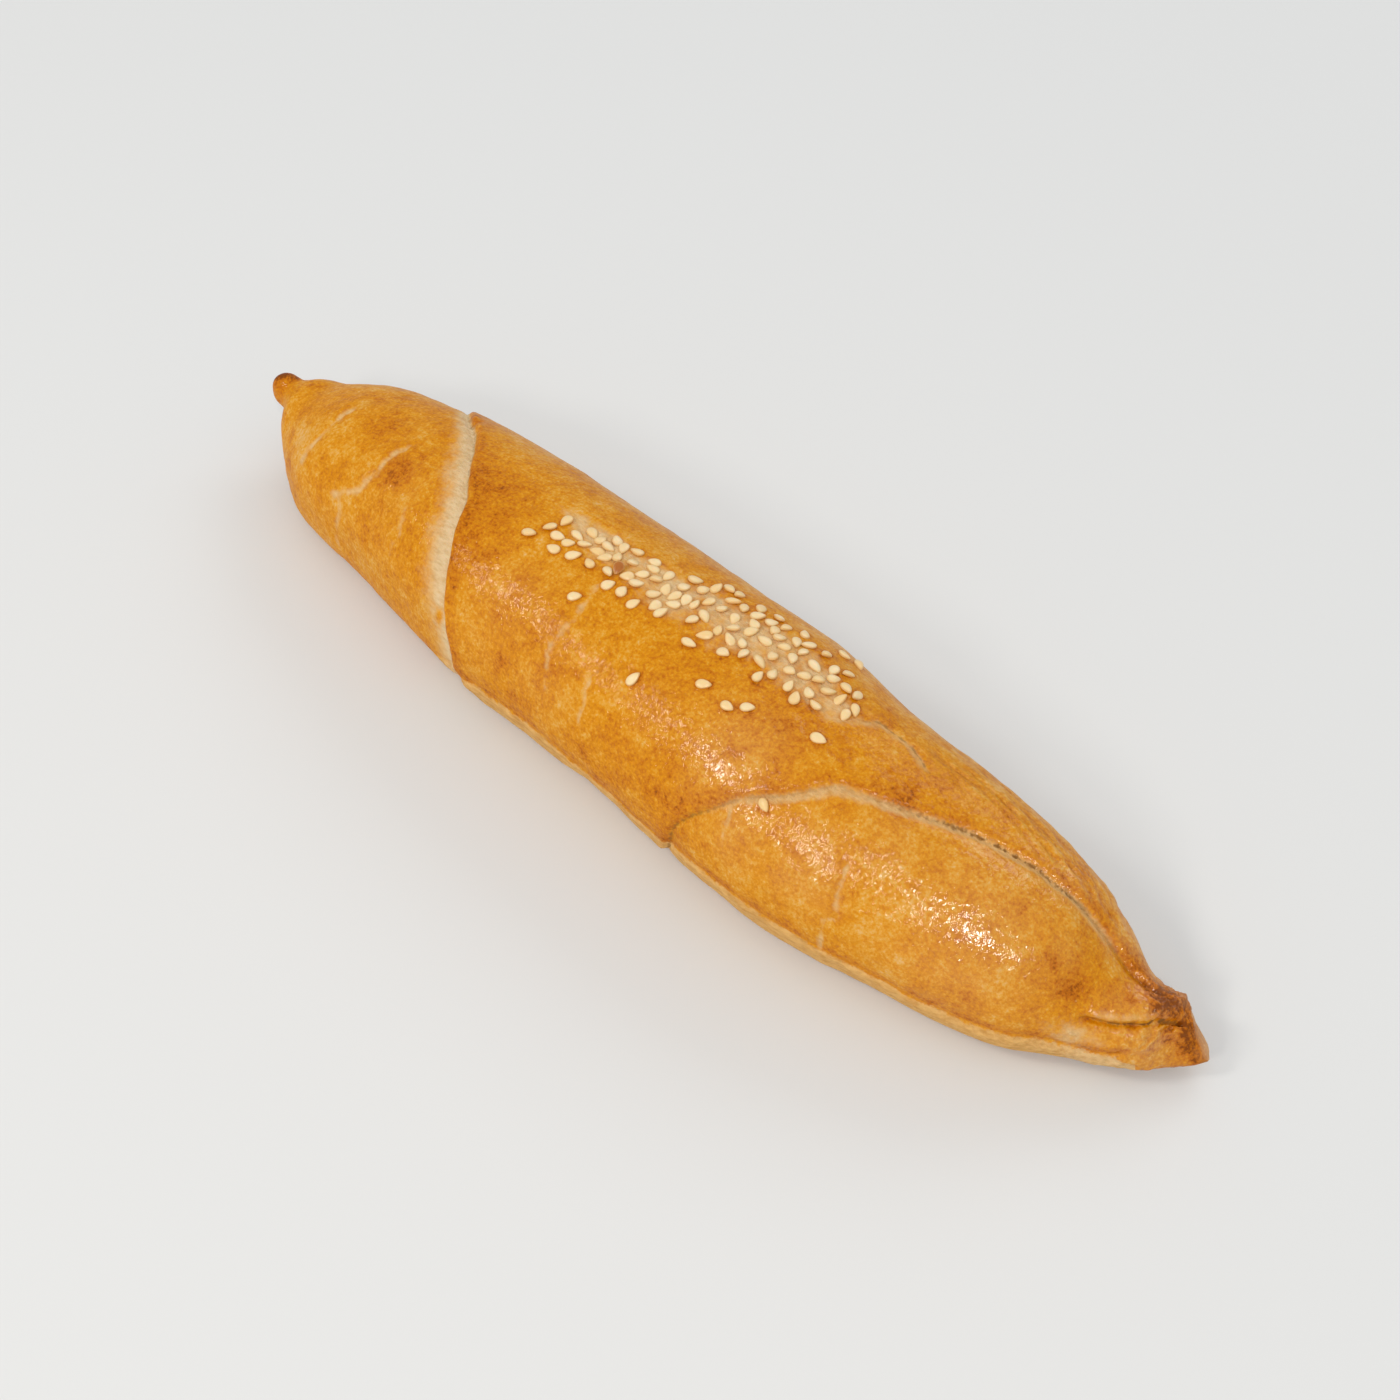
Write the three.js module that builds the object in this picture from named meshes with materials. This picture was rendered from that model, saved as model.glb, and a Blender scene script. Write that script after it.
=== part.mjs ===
// A filled bread stick: dough wrapped round a filling, pinched shut at both ends, glazed, strewn
// with sesame along the crown and baked.
//
// Millimetres, +X along the stick from its blunt cone end to its pinched beak end, +Z up. The
// origin is on the surface that the stick lies on, under the middle of its bounding box.
//
// A place on the crust is given by x, along the stick, and by an angle in degrees round its
// section: 0 is the crown, +90 the front side (-Y), -90 the back side and 180 the underside.

import * as THREE from "three";
import { mergeVertices } from "three/addons/utils/BufferGeometryUtils.js";

// Driving dimensions.
const LENGTH = 240;
const WIDTH = 53;
const HEIGHT = 36.5;
const SEED_LENGTH = 3.2;
const SEED_WIDTH = 2.0;
const SEED_THICKNESS = 0.9;
const SEED_COUNT = 59;

// The outline. Each station gives its place in half lengths, then the half width in half widths of
// the belly, the crown's height over the underside in belly heights, the sideways bow in half
// widths, and the lift of the underside in belly heights. The stick lies flat under its belly, and
// its pinched ends turn up off the surface.
const STATIONS = [
  [-1.0, 0.115, 0.17, 0.2, 0.35],
  [-0.958, 0.135, 0.19, 0.22, 0.315],
  [-0.92, 0.31, 0.35, 0.22, 0.2],
  [-0.883, 0.445, 0.47, 0.22, 0.1],
  [-0.783, 0.675, 0.7, 0.22, 0.02],
  [-0.65, 0.777, 0.8, 0.22, 0.008],
  [-0.483, 0.87, 0.91, 0.16, 0.004],
  [-0.283, 0.936, 0.97, 0.08, 0],
  [-0.067, 0.965, 1.0, 0.02, 0],
  [0.167, 0.995, 1.0, -0.02, 0],
  [0.383, 0.925, 0.965, -0.11, 0.004],
  [0.583, 0.835, 0.85, -0.035, 0.008],
  [0.733, 0.68, 0.7, 0, 0.02],
  [0.85, 0.41, 0.44, 0.05, 0.035],
  [0.933, 0.265, 0.29, 0.1, 0.07],
  [1.0, 0.17, 0.205, 0.13, 0.09],
];
const END_ROUNDING = 3.5;
const WIDEST_AT = 0.4; // height of the widest line, as a fraction of the crown's

// The section: a domed crown over a squarer foot that ends in a flat underside.
const CROWN_FULLNESS = 0.93;
const FOOT_WIDTH_POWER = 0.7;
const FOOT_HEIGHT_POWER = 0.55;
const FOOT_FLATTENING = 1.12;

// The left seam winds round the stick, given as angle and place. The dough before it steps down
// under the lip, and the lip itself stands proud of the outline.
const LEFT_SEAM = [
  [-140, -90],
  [-60, -76],
  [-30, -69],
  [4, -57],
  [27, -49],
  [58, -43],
  [96, -36],
  [140, -28],
];
const LIP_STEP = 1.3;
const LIP_WIDTH = 2.5;
const LIP_RUN_OUT = 26;
const LIP_PROUD = 1.0;
const LIP_PROUD_RUN_OUT = 16;

// The right seam climbs from the front foot to the crown, then follows it to the beak.
const RIGHT_SEAM = [
  [19, 125],
  [21, 98],
  [27, 72],
  [36, 43],
  [48, 14],
  [61, 6.5],
  [80, -1.5],
  [102, -13.5],
  [114, -13.5],
];
const RIGHT_SEAM_DEPTH = 1.1;
const RIGHT_SEAM_WIDTH = 2.2;

// The fold that the pinching leaves in the beak.
const BEAK_FOLD = [
  [98, 53],
  [108, 37],
  [116, 16],
  [120, 0],
];
const BEAK_FOLD_DEPTH = 1.6;
const BEAK_FOLD_WIDTH = 1.8;

const RINGS = 88;
const RING_SIDES = 40;

// The sesame band: place along the stick, angle of its middle and half its width in degrees.
const BAND = [
  [-34, 4, 7],
  [-12, -4, 13],
  [5, -10, 14],
  [38, -13, 14],
];
// Seeds that fell outside the band: place along the stick, angle and spin in degrees.
const STRAYS = [
  [-35.5, 11, 20],
  [-18, 22, 40],
  [2.5, 35, 75],
  [6, 8, 10],
  [14, 18.5, 30],
  [20.5, 20, 5],
  [23.5, 15, 35],
  [37.5, 43, -20],
  [37.5, 5.5, 15],
  [34.5, 5.5, 55],
  [26.5, -42, 20],
  [29.5, -46, -35],
];
const SEED_LIFT = 0.62; // a seed's middle over the crust: half its thickness and a hair of air
const SEED_CLEARANCE = 0.25;
const SCATTER_SEED = 7;

const radians = THREE.MathUtils.degToRad;
const half = { length: LENGTH / 2, width: WIDTH / 2 };

// Column of a table whose first column rises, read at x along a smooth curve through its rows. The
// curve never swings past a row, so that what is level in the table stays level.
function readSmooth(table, column, x) {
  const last = table.length - 1;
  if (x <= table[0][0]) return table[0][column];
  if (x >= table[last][0]) return table[last][column];
  const i = table.findIndex((row) => row[0] > x) - 1;
  const slopeAfter = (k) => {
    const from = THREE.MathUtils.clamp(k, 0, last - 1);
    return (table[from + 1][column] - table[from][column]) / (table[from + 1][0] - table[from][0]);
  };
  const slopeAt = (k) => {
    const [before, after] = [slopeAfter(k - 1), slopeAfter(k)];
    return before * after > 0 ? (2 * before * after) / (before + after) : 0;
  };
  const span = table[i + 1][0] - table[i][0];
  const u = (x - table[i][0]) / span;
  const startWeight = (1 + 2 * u) * (1 - u) ** 2;
  const startSlope = u * (1 - u) ** 2 * span;
  const endSlope = u * u * (u - 1) * span;
  return (
    table[i][column] * startWeight +
    table[i + 1][column] * (1 - startWeight) +
    slopeAt(i) * startSlope +
    slopeAt(i + 1) * endSlope
  );
}

function stationAt(x) {
  const place = x / half.length;
  const fromEnd = Math.min(half.length - Math.abs(x), END_ROUNDING) / END_ROUNDING;
  const rounding = Math.sqrt(Math.max(1 - (1 - fromEnd) ** 2, 0));
  const height = readSmooth(STATIONS, 2, place) * HEIGHT;
  const lift = readSmooth(STATIONS, 4, place) * HEIGHT;
  return {
    width: readSmooth(STATIONS, 1, place) * half.width * rounding,
    bow: readSmooth(STATIONS, 3, place) * half.width,
    widestLine: lift + height * WIDEST_AT,
    up: height * (1 - WIDEST_AT) * rounding,
    down: height * WIDEST_AT * rounding,
  };
}

const signedPower = (value, power) => Math.sign(value) * Math.abs(value) ** power;

// Smooth ridge or valley, 1 on the line and 0 well away from it.
const bump = (distance, width) => Math.exp(-((distance / width) ** 2));

// Distance across the crust from a seam that is given as angle against x, positive below it.
function distanceFromSeam(seam, x, angle, radius) {
  const perDegree = radians(1) * radius;
  const slope = (readSmooth(seam, 1, x + 0.5) - readSmooth(seam, 1, x - 0.5)) * perDegree;
  return ((angle - readSmooth(seam, 1, x)) * perDegree) / Math.hypot(1, slope);
}

// How far the crust stands in from the plain outline, for its seams and folds.
function relief(x, angle, radius) {
  const beforeLip = readSmooth(LEFT_SEAM, 1, angle) - x;
  const step = THREE.MathUtils.smoothstep(beforeLip, -LIP_WIDTH / 2, LIP_WIDTH / 2);
  const runOut = 1 - THREE.MathUtils.smoothstep(beforeLip, 0, LIP_RUN_OUT);
  const proud = THREE.MathUtils.smoothstep(beforeLip, -LIP_PROUD_RUN_OUT, 0) * (1 - step);
  let inset = LIP_STEP * step * runOut - LIP_PROUD * proud;
  if (x > RIGHT_SEAM[0][0]) {
    const away = distanceFromSeam(RIGHT_SEAM, x, angle, radius);
    inset += RIGHT_SEAM_DEPTH * bump(away, RIGHT_SEAM_WIDTH);
  }
  if (x > BEAK_FOLD[0][0]) {
    const away = distanceFromSeam(BEAK_FOLD, x, angle, radius);
    inset += BEAK_FOLD_DEPTH * bump(away, BEAK_FOLD_WIDTH);
  }
  const aboveFoot = 1 - THREE.MathUtils.smoothstep(Math.abs(angle), 95, 140);
  return Math.min(inset * aboveFoot, radius * 0.3);
}

// The point of the crust at a place and angle, moved out along the section by a distance.
function crustPoint(x, angle, outward = 0) {
  const { width, bow, widestLine, up, down } = stationAt(x);
  const across = -Math.sin(radians(angle));
  const rise = Math.cos(radians(angle));
  const radius = Math.max(width, 0.01);
  const reach = 1 + (outward - relief(x, angle, radius)) / radius;
  if (rise >= 0) {
    const y = signedPower(across, CROWN_FULLNESS) * width * reach;
    const z = rise ** CROWN_FULLNESS * up * reach;
    return new THREE.Vector3(x, bow + y, widestLine + z);
  }
  const y = signedPower(across, FOOT_WIDTH_POWER) * width;
  const depth = Math.min(FOOT_FLATTENING * Math.abs(rise) ** FOOT_HEIGHT_POWER, 1);
  return new THREE.Vector3(x, bow + y, widestLine - depth * down);
}

// The baked dough: a ball of rings whose points are moved out to the crust. Its rings are even
// along the stick and close up towards the ends.
function breadStick() {
  const ball = new THREE.SphereGeometry(1, RING_SIDES, RINGS);
  ball.deleteAttribute("normal");
  ball.deleteAttribute("uv");
  const geometry = mergeVertices(ball);
  const points = geometry.attributes.position;
  for (let i = 0; i < points.count; i += 1) {
    const polar = Math.acos(THREE.MathUtils.clamp(points.getY(i), -1, 1));
    const evenly = (2 * polar) / Math.PI - 1;
    const x = (half.length * (evenly - Math.cos(polar))) / 2;
    const angle = THREE.MathUtils.radToDeg(Math.atan2(points.getZ(i), points.getX(i)));
    const { x: px, y: py, z: pz } = crustPoint(x, angle);
    points.setXYZ(i, px, py, pz);
  }
  geometry.computeVertexNormals();
  const crust = new THREE.MeshStandardMaterial({ color: 0xd99a45, roughness: 0.4, metalness: 0 });
  const mesh = new THREE.Mesh(geometry, crust);
  mesh.name = "bread_stick";
  return mesh;
}

// A sesame seed: a flat drop with one pointed end, long way X, lying on its broad side.
function seedGeometry() {
  const ball = new THREE.SphereGeometry(1, 8, 6);
  ball.deleteAttribute("normal");
  ball.deleteAttribute("uv");
  ball.rotateZ(Math.PI / 2);
  const geometry = mergeVertices(ball);
  const points = geometry.attributes.position;
  for (let i = 0; i < points.count; i += 1) {
    const along = points.getX(i);
    const taper = 1 - 0.28 * Math.max(along, 0) - 0.1 * Math.max(along, 0) ** 2;
    points.setX(i, (along * SEED_LENGTH) / 2);
    points.setY(i, (points.getY(i) * taper * SEED_WIDTH) / 2);
    points.setZ(i, (points.getZ(i) * taper * SEED_THICKNESS) / 2);
  }
  geometry.computeVertexNormals();
  return geometry;
}

// Lays a seed flat on the crust, spun about the crust's own normal.
function laySeed(geometry, name, x, angle, spin) {
  const here = crustPoint(x, angle);
  const along = crustPoint(x + 1, angle).sub(crustPoint(x - 1, angle)).normalize();
  const around = crustPoint(x, angle - 2).sub(crustPoint(x, angle + 2)).normalize();
  const normal = new THREE.Vector3().crossVectors(along, around).normalize();
  around.crossVectors(normal, along);
  const ivory = new THREE.MeshStandardMaterial({ color: 0xf0dcae, roughness: 0.45, metalness: 0 });
  const mesh = new THREE.Mesh(geometry, ivory);
  mesh.name = name;
  mesh.quaternion.setFromRotationMatrix(new THREE.Matrix4().makeBasis(along, around, normal));
  mesh.rotateZ(radians(spin));
  mesh.position.copy(here).addScaledVector(normal, SEED_LIFT);
  return mesh;
}

// Repeatable random numbers from 0 to 1 (a linear congruential generator).
function dice(seed) {
  let state = seed;
  return () => {
    state = (state * 1664525 + 1013904223) % 2 ** 32;
    return state / 2 ** 32;
  };
}

// Two seeds clear each other if no point of either one's long axis is within a seed's width.
function seedsTouch(a, b) {
  const axisPoints = (seed) => {
    const reach = (SEED_LENGTH - SEED_WIDTH) / 2;
    const direction = new THREE.Vector3(1, 0, 0).applyQuaternion(seed.quaternion);
    return [-1, 0, 1].map((k) => seed.position.clone().addScaledVector(direction, k * reach));
  };
  const closest = SEED_WIDTH + SEED_CLEARANCE;
  const others = axisPoints(b);
  return axisPoints(a).some((p) => others.some((q) => p.distanceTo(q) < closest));
}

// The strays first, then seeds thrown into the band wherever there is room.
function sesameSeeds() {
  const random = dice(SCATTER_SEED);
  const geometry = seedGeometry();
  const seeds = [];
  const addSeed = (x, angle, spin) => {
    const name = `sesame_seed_${String(seeds.length + 1).padStart(2, "0")}`;
    const seed = laySeed(geometry, name, x, angle, spin);
    if (!seeds.some((other) => seedsTouch(seed, other))) seeds.push(seed);
  };
  for (const [x, angle, spin] of STRAYS) addSeed(x, angle, spin);
  const [start, end] = [BAND[0][0], BAND[BAND.length - 1][0]];
  while (seeds.length < SEED_COUNT) {
    const x = start + (end - start) * random();
    const across = random() + random() - 1;
    const angle = readSmooth(BAND, 1, x) + readSmooth(BAND, 2, x) * across;
    addSeed(x, angle, 360 * random());
  }
  return seeds;
}

const group = new THREE.Group();
group.add(breadStick(), ...sesameSeeds());
const box = new THREE.Box3().setFromObject(group, true);
group.position.set(-(box.min.x + box.max.x) / 2, -(box.min.y + box.max.y) / 2, -box.min.z);

export default group;
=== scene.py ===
# A filled bread stick: the looks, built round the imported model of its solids.
#
# The crust replaces the plain solid bread_stick with a fine mesh of the same outline, and carries
# the lips, cracks, folds and glaze. Each sesame seed replaces its own plain solid, and more seeds
# fill the band along the crown. Lengths are in millimetres until a mesh is written, and in metres
# for the floor, the lights and the camera.
#
# A place on the crust is given by x, along the stick, and by an angle in degrees round its
# section: 0 is the crown, +90 the front side (-Y), -90 the back side and 180 the underside.

import math

import bpy
import numpy as np
from mathutils import Matrix, Vector, noise
from mathutils.bvhtree import BVHTree


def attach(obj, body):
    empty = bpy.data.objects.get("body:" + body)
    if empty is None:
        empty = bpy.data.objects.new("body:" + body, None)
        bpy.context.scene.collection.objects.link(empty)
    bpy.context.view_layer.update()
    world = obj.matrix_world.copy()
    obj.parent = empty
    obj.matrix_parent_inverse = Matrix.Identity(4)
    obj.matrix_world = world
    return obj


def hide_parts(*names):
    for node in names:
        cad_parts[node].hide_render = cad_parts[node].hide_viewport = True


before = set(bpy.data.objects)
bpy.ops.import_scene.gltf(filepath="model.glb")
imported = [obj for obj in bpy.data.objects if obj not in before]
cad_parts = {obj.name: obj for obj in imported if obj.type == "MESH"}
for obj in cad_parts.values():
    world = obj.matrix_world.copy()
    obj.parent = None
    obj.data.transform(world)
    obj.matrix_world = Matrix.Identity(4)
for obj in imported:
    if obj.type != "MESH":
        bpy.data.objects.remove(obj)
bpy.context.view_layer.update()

MM = 0.001
CRUST_NODE = "bread_stick"
SEED_PREFIX = "sesame_seed_"


def node_points(name):
    """A CAD node's vertices, in millimetres."""
    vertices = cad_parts[name].data.vertices
    points = np.empty(len(vertices) * 3)
    vertices.foreach_get("co", points)
    return points.reshape(-1, 3) / MM


# ---------------------------------------------------------------------------------------------
# The outline that the crust shares with the solid
# ---------------------------------------------------------------------------------------------

solid_points = node_points(CRUST_NODE)
LENGTH = np.ptp(solid_points[:, 0])
HEIGHT = np.ptp(solid_points[:, 2])
# Width of the belly itself. The stick's bow makes its box a little wider.
WIDTH = 53.0
HALF_LENGTH = LENGTH / 2
HALF_WIDTH = WIDTH / 2

# Place in half lengths, half width in half widths of the belly, height in belly heights, sideways
# bow in half widths and lift of the underside in belly heights.
STATIONS = (
    (-1.0, 0.115, 0.17, 0.2, 0.35),
    (-0.958, 0.135, 0.19, 0.22, 0.315),
    (-0.92, 0.31, 0.35, 0.22, 0.2),
    (-0.883, 0.445, 0.47, 0.22, 0.1),
    (-0.783, 0.675, 0.7, 0.22, 0.02),
    (-0.65, 0.777, 0.8, 0.22, 0.008),
    (-0.483, 0.87, 0.91, 0.16, 0.004),
    (-0.283, 0.936, 0.97, 0.08, 0.0),
    (-0.067, 0.965, 1.0, 0.02, 0.0),
    (0.167, 0.995, 1.0, -0.02, 0.0),
    (0.383, 0.925, 0.965, -0.11, 0.004),
    (0.583, 0.835, 0.85, -0.035, 0.008),
    (0.733, 0.68, 0.7, 0.0, 0.02),
    (0.85, 0.41, 0.44, 0.05, 0.035),
    (0.933, 0.265, 0.29, 0.1, 0.07),
    (1.0, 0.17, 0.205, 0.13, 0.09),
)
END_ROUNDING = 3.5
WIDEST_AT = 0.4
CROWN_FULLNESS = 0.93
FOOT_WIDTH_POWER = 0.7
FOOT_HEIGHT_POWER = 0.55
FOOT_FLATTENING = 1.12


def read_smooth(table, column, x):
    """A column of a table whose first column rises, read along a curve that never overshoots."""
    rows = np.array(table, float)
    places, values = rows[:, 0], rows[:, column]
    spans = np.diff(places)
    secants = np.diff(values) / spans
    before = np.append(secants[0], secants)
    after = np.append(secants, secants[-1])
    alike = before * after > 0
    slopes = np.where(alike, 2 * before * after / np.where(alike, before + after, 1), 0)
    i = np.clip(np.searchsorted(places, x, "right") - 1, 0, len(spans) - 1)
    u = np.clip((x - places[i]) / spans[i], 0, 1)
    start = (1 + 2 * u) * (1 - u) ** 2
    bend = slopes[i] * u * (1 - u) ** 2 + slopes[i + 1] * u * u * (u - 1)
    return values[i] * start + values[i + 1] * (1 - start) + spans[i] * bend


def read_line(table, place):
    """The value at a place, on straight lines between the table's rows of (place, value)."""
    places, values = zip(*table)
    return np.interp(place, places, values)


def smoothstep(low, high, value):
    """0 up to one value and 1 from another on, with a soft rise between them."""
    t = np.clip((value - low) / (high - low), 0, 1)
    return t * t * (3 - 2 * t)


def bump(distance, width):
    """1 on a line and 0 well away from it."""
    return np.exp(-((distance / width) ** 2))


# The solid was moved so that its box is centred. Its blunt tip shows by how much.
BLUNT_TIP = solid_points[np.argmin(solid_points[:, 0])]
SIDE_SHIFT = BLUNT_TIP[1] - STATIONS[0][3] * HALF_WIDTH


def outline_point(x, angle):
    """Points of the plain outline, an array of shape (..., 3)."""
    x, angle = np.broadcast_arrays(np.asarray(x, float), np.asarray(angle, float))
    place = x / HALF_LENGTH
    from_end = np.clip((HALF_LENGTH - np.abs(x)) / END_ROUNDING, 0, 1)
    rounding = np.sqrt(1 - (1 - from_end) ** 2)
    width = read_smooth(STATIONS, 1, place) * HALF_WIDTH * rounding
    height = read_smooth(STATIONS, 2, place) * HEIGHT
    bow = read_smooth(STATIONS, 3, place) * HALF_WIDTH + SIDE_SHIFT
    widest_line = read_smooth(STATIONS, 4, place) * HEIGHT + height * WIDEST_AT
    across = -np.sin(np.radians(angle))
    rise = np.cos(np.radians(angle))
    power = np.where(rise >= 0, CROWN_FULLNESS, FOOT_WIDTH_POWER)
    y = bow + np.sign(across) * np.abs(across) ** power * width
    crown = np.abs(rise) ** CROWN_FULLNESS * height * (1 - WIDEST_AT) * rounding
    foot_depth = np.minimum(FOOT_FLATTENING * np.abs(rise) ** FOOT_HEIGHT_POWER, 1)
    foot = foot_depth * height * WIDEST_AT * rounding
    z = widest_line + np.where(rise >= 0, crown, -foot)
    return np.stack([x, y, z], axis=-1)


def outline_normal(x, angle):
    along = outline_point(x + 0.5, angle) - outline_point(x - 0.5, angle)
    around = outline_point(x, angle - 1) - outline_point(x, angle + 1)
    normal = np.cross(along, around)
    return normal / np.linalg.norm(normal, axis=-1, keepdims=True)


# ---------------------------------------------------------------------------------------------
# Lines drawn on the crust: seams, cracks and folds
# ---------------------------------------------------------------------------------------------


class CrustLine:
    """A smooth line through (x, angle) points, with distances measured over the outline."""

    STEP = 0.4

    def __init__(self, *points):
        knots = np.array(points, float)
        chords = np.linalg.norm(np.diff(outline_point(knots[:, 0], knots[:, 1]), axis=0), axis=1)
        places = np.append(0, np.cumsum(chords))
        self.length = places[-1]
        dense = np.linspace(0, self.length, int(self.length / self.STEP) + 2)
        rows = np.column_stack([places, knots])
        x = read_smooth(rows, 1, dense)
        angle = read_smooth(rows, 2, dense)
        self.points = outline_point(x, angle)
        tangents = np.gradient(self.points, axis=0)
        tangents /= np.linalg.norm(tangents, axis=1, keepdims=True)
        self.tangents = tangents
        self.sideways = np.cross(outline_normal(x, angle), tangents)
        self.places = dense

    def measure(self, points):
        """For each point: signed distance across the line, place along it, distance past its ends.

        The positive side is on the left of the line's direction, seen from outside.
        """
        squares = (
            (points**2).sum(1)[:, None]
            - 2 * points @ self.points.T
            + (self.points**2).sum(1)[None, :]
        )
        nearest = squares.argmin(1)
        away = points - self.points[nearest]
        ahead = (away * self.tangents[nearest]).sum(1)
        aside = np.sqrt(np.clip((away**2).sum(1) - ahead**2, 0, None))
        across = np.copysign(aside, (away * self.sideways[nearest]).sum(1))
        at_end = (nearest == 0) | (nearest == len(self.places) - 1)
        past = np.where(at_end, np.abs(ahead), 0)
        return across, self.places[nearest] + ahead, past


LEFT_SEAM = CrustLine(
    (-92, -140), (-84, -85), (-76.5, -50), (-72.5, -33), (-66.7, -21), (-61.7, -8), (-56.7, 5),
    (-52, 17), (-49.2, 31), (-45.8, 48), (-43.3, 63), (-40.4, 78), (-38, 90), (-35, 101),
    (-28, 130),
)
RIGHT_SEAM = CrustLine(
    (17.5, 140), (20, 112), (21.5, 98), (22.3, 90), (23.3, 82), (25, 74), (29, 60), (34, 45),
    (39, 34), (43.3, 23), (47.5, 14), (53.3, 10), (60, 4.7), (66.7, -1), (73.3, -6.5),
    (78.3, -10), (83, -13), (88.3, -16.4), (92.5, -19), (97, -22), (102, -24.5), (107, -27),
)
CROWN_SLIT = CrustLine(
    (35.5, -5), (38, -10), (40.8, -16), (42.5, -20.5), (46, -21.8), (49.5, -21.5), (52, -19.5),
    (54.5, -16),
)
LOBE_CRACK = CrustLine((55.8, 46), (56.4, 60), (58.3, 70), (56.8, 78), (57.0, 91))
SHORT_CRACK = CrustLine((32, 51), (32.4, 61), (33.4, 69))
FRONT_CRACK = CrustLine((-5.2, 43), (-4.3, 56), (-3.0, 68))
CONE_CREASE = CrustLine((-93.2, 8), (-93.6, 28), (-94.2, 42), (-95.5, 58))
CONE_VEIN = CrustLine((-73.5, 12), (-75, 28), (-75.5, 44), (-78, 54), (-82, 62))
CONE_STREAK = CrustLine((-80.5, 60), (-79.5, 75), (-80, 92))
STRIP_STREAK = CrustLine((-62.5, 43), (-60.5, 54), (-61, 66))
FRONT_VEIN = CrustLine((-16.5, 14), (-15, 30), (-15.5, 46), (-13.5, 64))
BEAK_FOLD = CrustLine(
    (100.5, 49), (103.3, 43.5), (105.5, 37.5), (107.6, 29), (109.7, 20), (111.1, 10), (113, 4),
    (115.5, -5),
)
SKIRT = CrustLine(
    (-44, 103), (-38, 97), (-30, 93.5), (-12, 92), (0, 92.2), (10, 93.5), (19, 94), (26, 91.8),
    (45, 91.4), (60, 91.6), (75, 91.8), (90, 91), (100, 88), (108, 84),
)
BACK_SKIRT = CrustLine(
    (-100, -118), (-70, -108), (-40, -101), (-10, -104), (20, -100), (50, -103), (80, -101),
    (100, -110),
)


def rough(points, size, key):
    """Smooth noise of about -1 to 1 whose lumps are of a size in millimetres."""
    shift = 31.7 * key
    scaled = (points / size + shift).tolist()
    return np.array([noise.noise(p) for p in scaled])


# ---------------------------------------------------------------------------------------------
# The crust's mesh
# ---------------------------------------------------------------------------------------------

RINGS = 500
FINE_SIDES = 162
COARSE_SIDES = 34
FINE_FROM = -105
FINE_TO = 118


def crust_grid():
    """x of each ring and angle of each side. The underside, which nobody sees, is coarser."""
    even = np.linspace(0, 1, RINGS + 2)[1:-1]
    x = HALF_LENGTH * (0.8 * (2 * even - 1) - 0.2 * np.cos(math.pi * even))
    fine = np.linspace(FINE_FROM, FINE_TO, FINE_SIDES, endpoint=False)
    coarse = np.linspace(FINE_TO, FINE_FROM + 360, COARSE_SIDES, endpoint=False)
    return x, np.append(fine, coarse)


def wrap(angle):
    return (angle + 180) % 360 - 180


# How far from an edge or a crack its distance is still kept, in millimetres.
EDGE_REACH = 4.0

# Tables of (place, value): the place is x, but for the strip it is the distance along the seam.
# The tear's middle and half width are in degrees, and the other lengths in millimetres.
STRIP_WIDTH = ((30, 2.6), (43, 4.2), (53, 5.2), (70, 6.2), (82, 7.0), (94, 7.5))
RIM_WIDTH = ((24, 0.3), (34, 1.1), (48, 2.0), (60, 1.2), (85, 1.7), (104, 2.2))
SEAM_DARKNESS = (
    (18, 1), (23, 0.6), (33, 0.35), (48, 0.25), (58, 0.4), (64, 0.9), (72, 1), (86, 0.9), (94, 0.2),
)
TEAR_MIDDLE = ((-40, -7), (-24, -6), (-12, -4), (0, -9), (12, -13), (24, -14), (36, -10))
TEAR_HALF_WIDTH = ((-40, 3), (-32, 5), (-20, 8), (-8, 12), (6, 15), (22, 14), (33, 9), (42, 2))
# Darkness of the painted shadow along the beak's fold, under the upper lobe's lip.
FOLD_SHADOW = ((102, 0.3), (106, 0.9), (112, 1), (116, 0.4))
TUCK_DEPTH = (
    (-42, 0), (-28, 1.1), (-8, 1.2), (-2, 1.9), (12, 1.1), (24, 0.9), (60, 0.7), (90, 0),
)

# Small holes in the left seam: x, angle and radius. The notch is where the right seam starts.
SEAM_HOLES = ((-69.2, -28, 1.2), (-73, -32.5, 0.9))
NOTCH = (20.6, 103, 1.6)

# Thin cracks and veins: line, width, depth and how much of the dough they show.
THIN_CRACKS = (
    (LOBE_CRACK, 0.55, 0.3, 1.0),
    (SHORT_CRACK, 0.5, 0.12, 0.75),
    (FRONT_CRACK, 0.6, 0.15, 0.8),
    (FRONT_VEIN, 0.8, 0.1, 0.7),
    (CONE_CREASE, 0.9, 0.3, 0.9),
    (CONE_VEIN, 0.9, 0.3, 0.8),
    (CONE_STREAK, 0.9, 0.12, 0.6),
    (STRIP_STREAK, 0.8, 0.12, 0.6),
)

# Knobs and one hollow of the beak: height, then x, angle and their reaches.
BEAK_KNOBS = (
    (1.1, 98, -58, 5, 30),
    (0.8, 108, -5, 4, 28),
    (0.9, 112.5, -62, 3.5, 32),
    (-0.7, 116, -20, 3, 25),
)

# Lumps of the whole crust: height, size and key of the noise.
LUMPS = ((0.45, 26, 21), (0.28, 11, 22), (0.12, 4, 23), (0.04, 1.6, 25))


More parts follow.
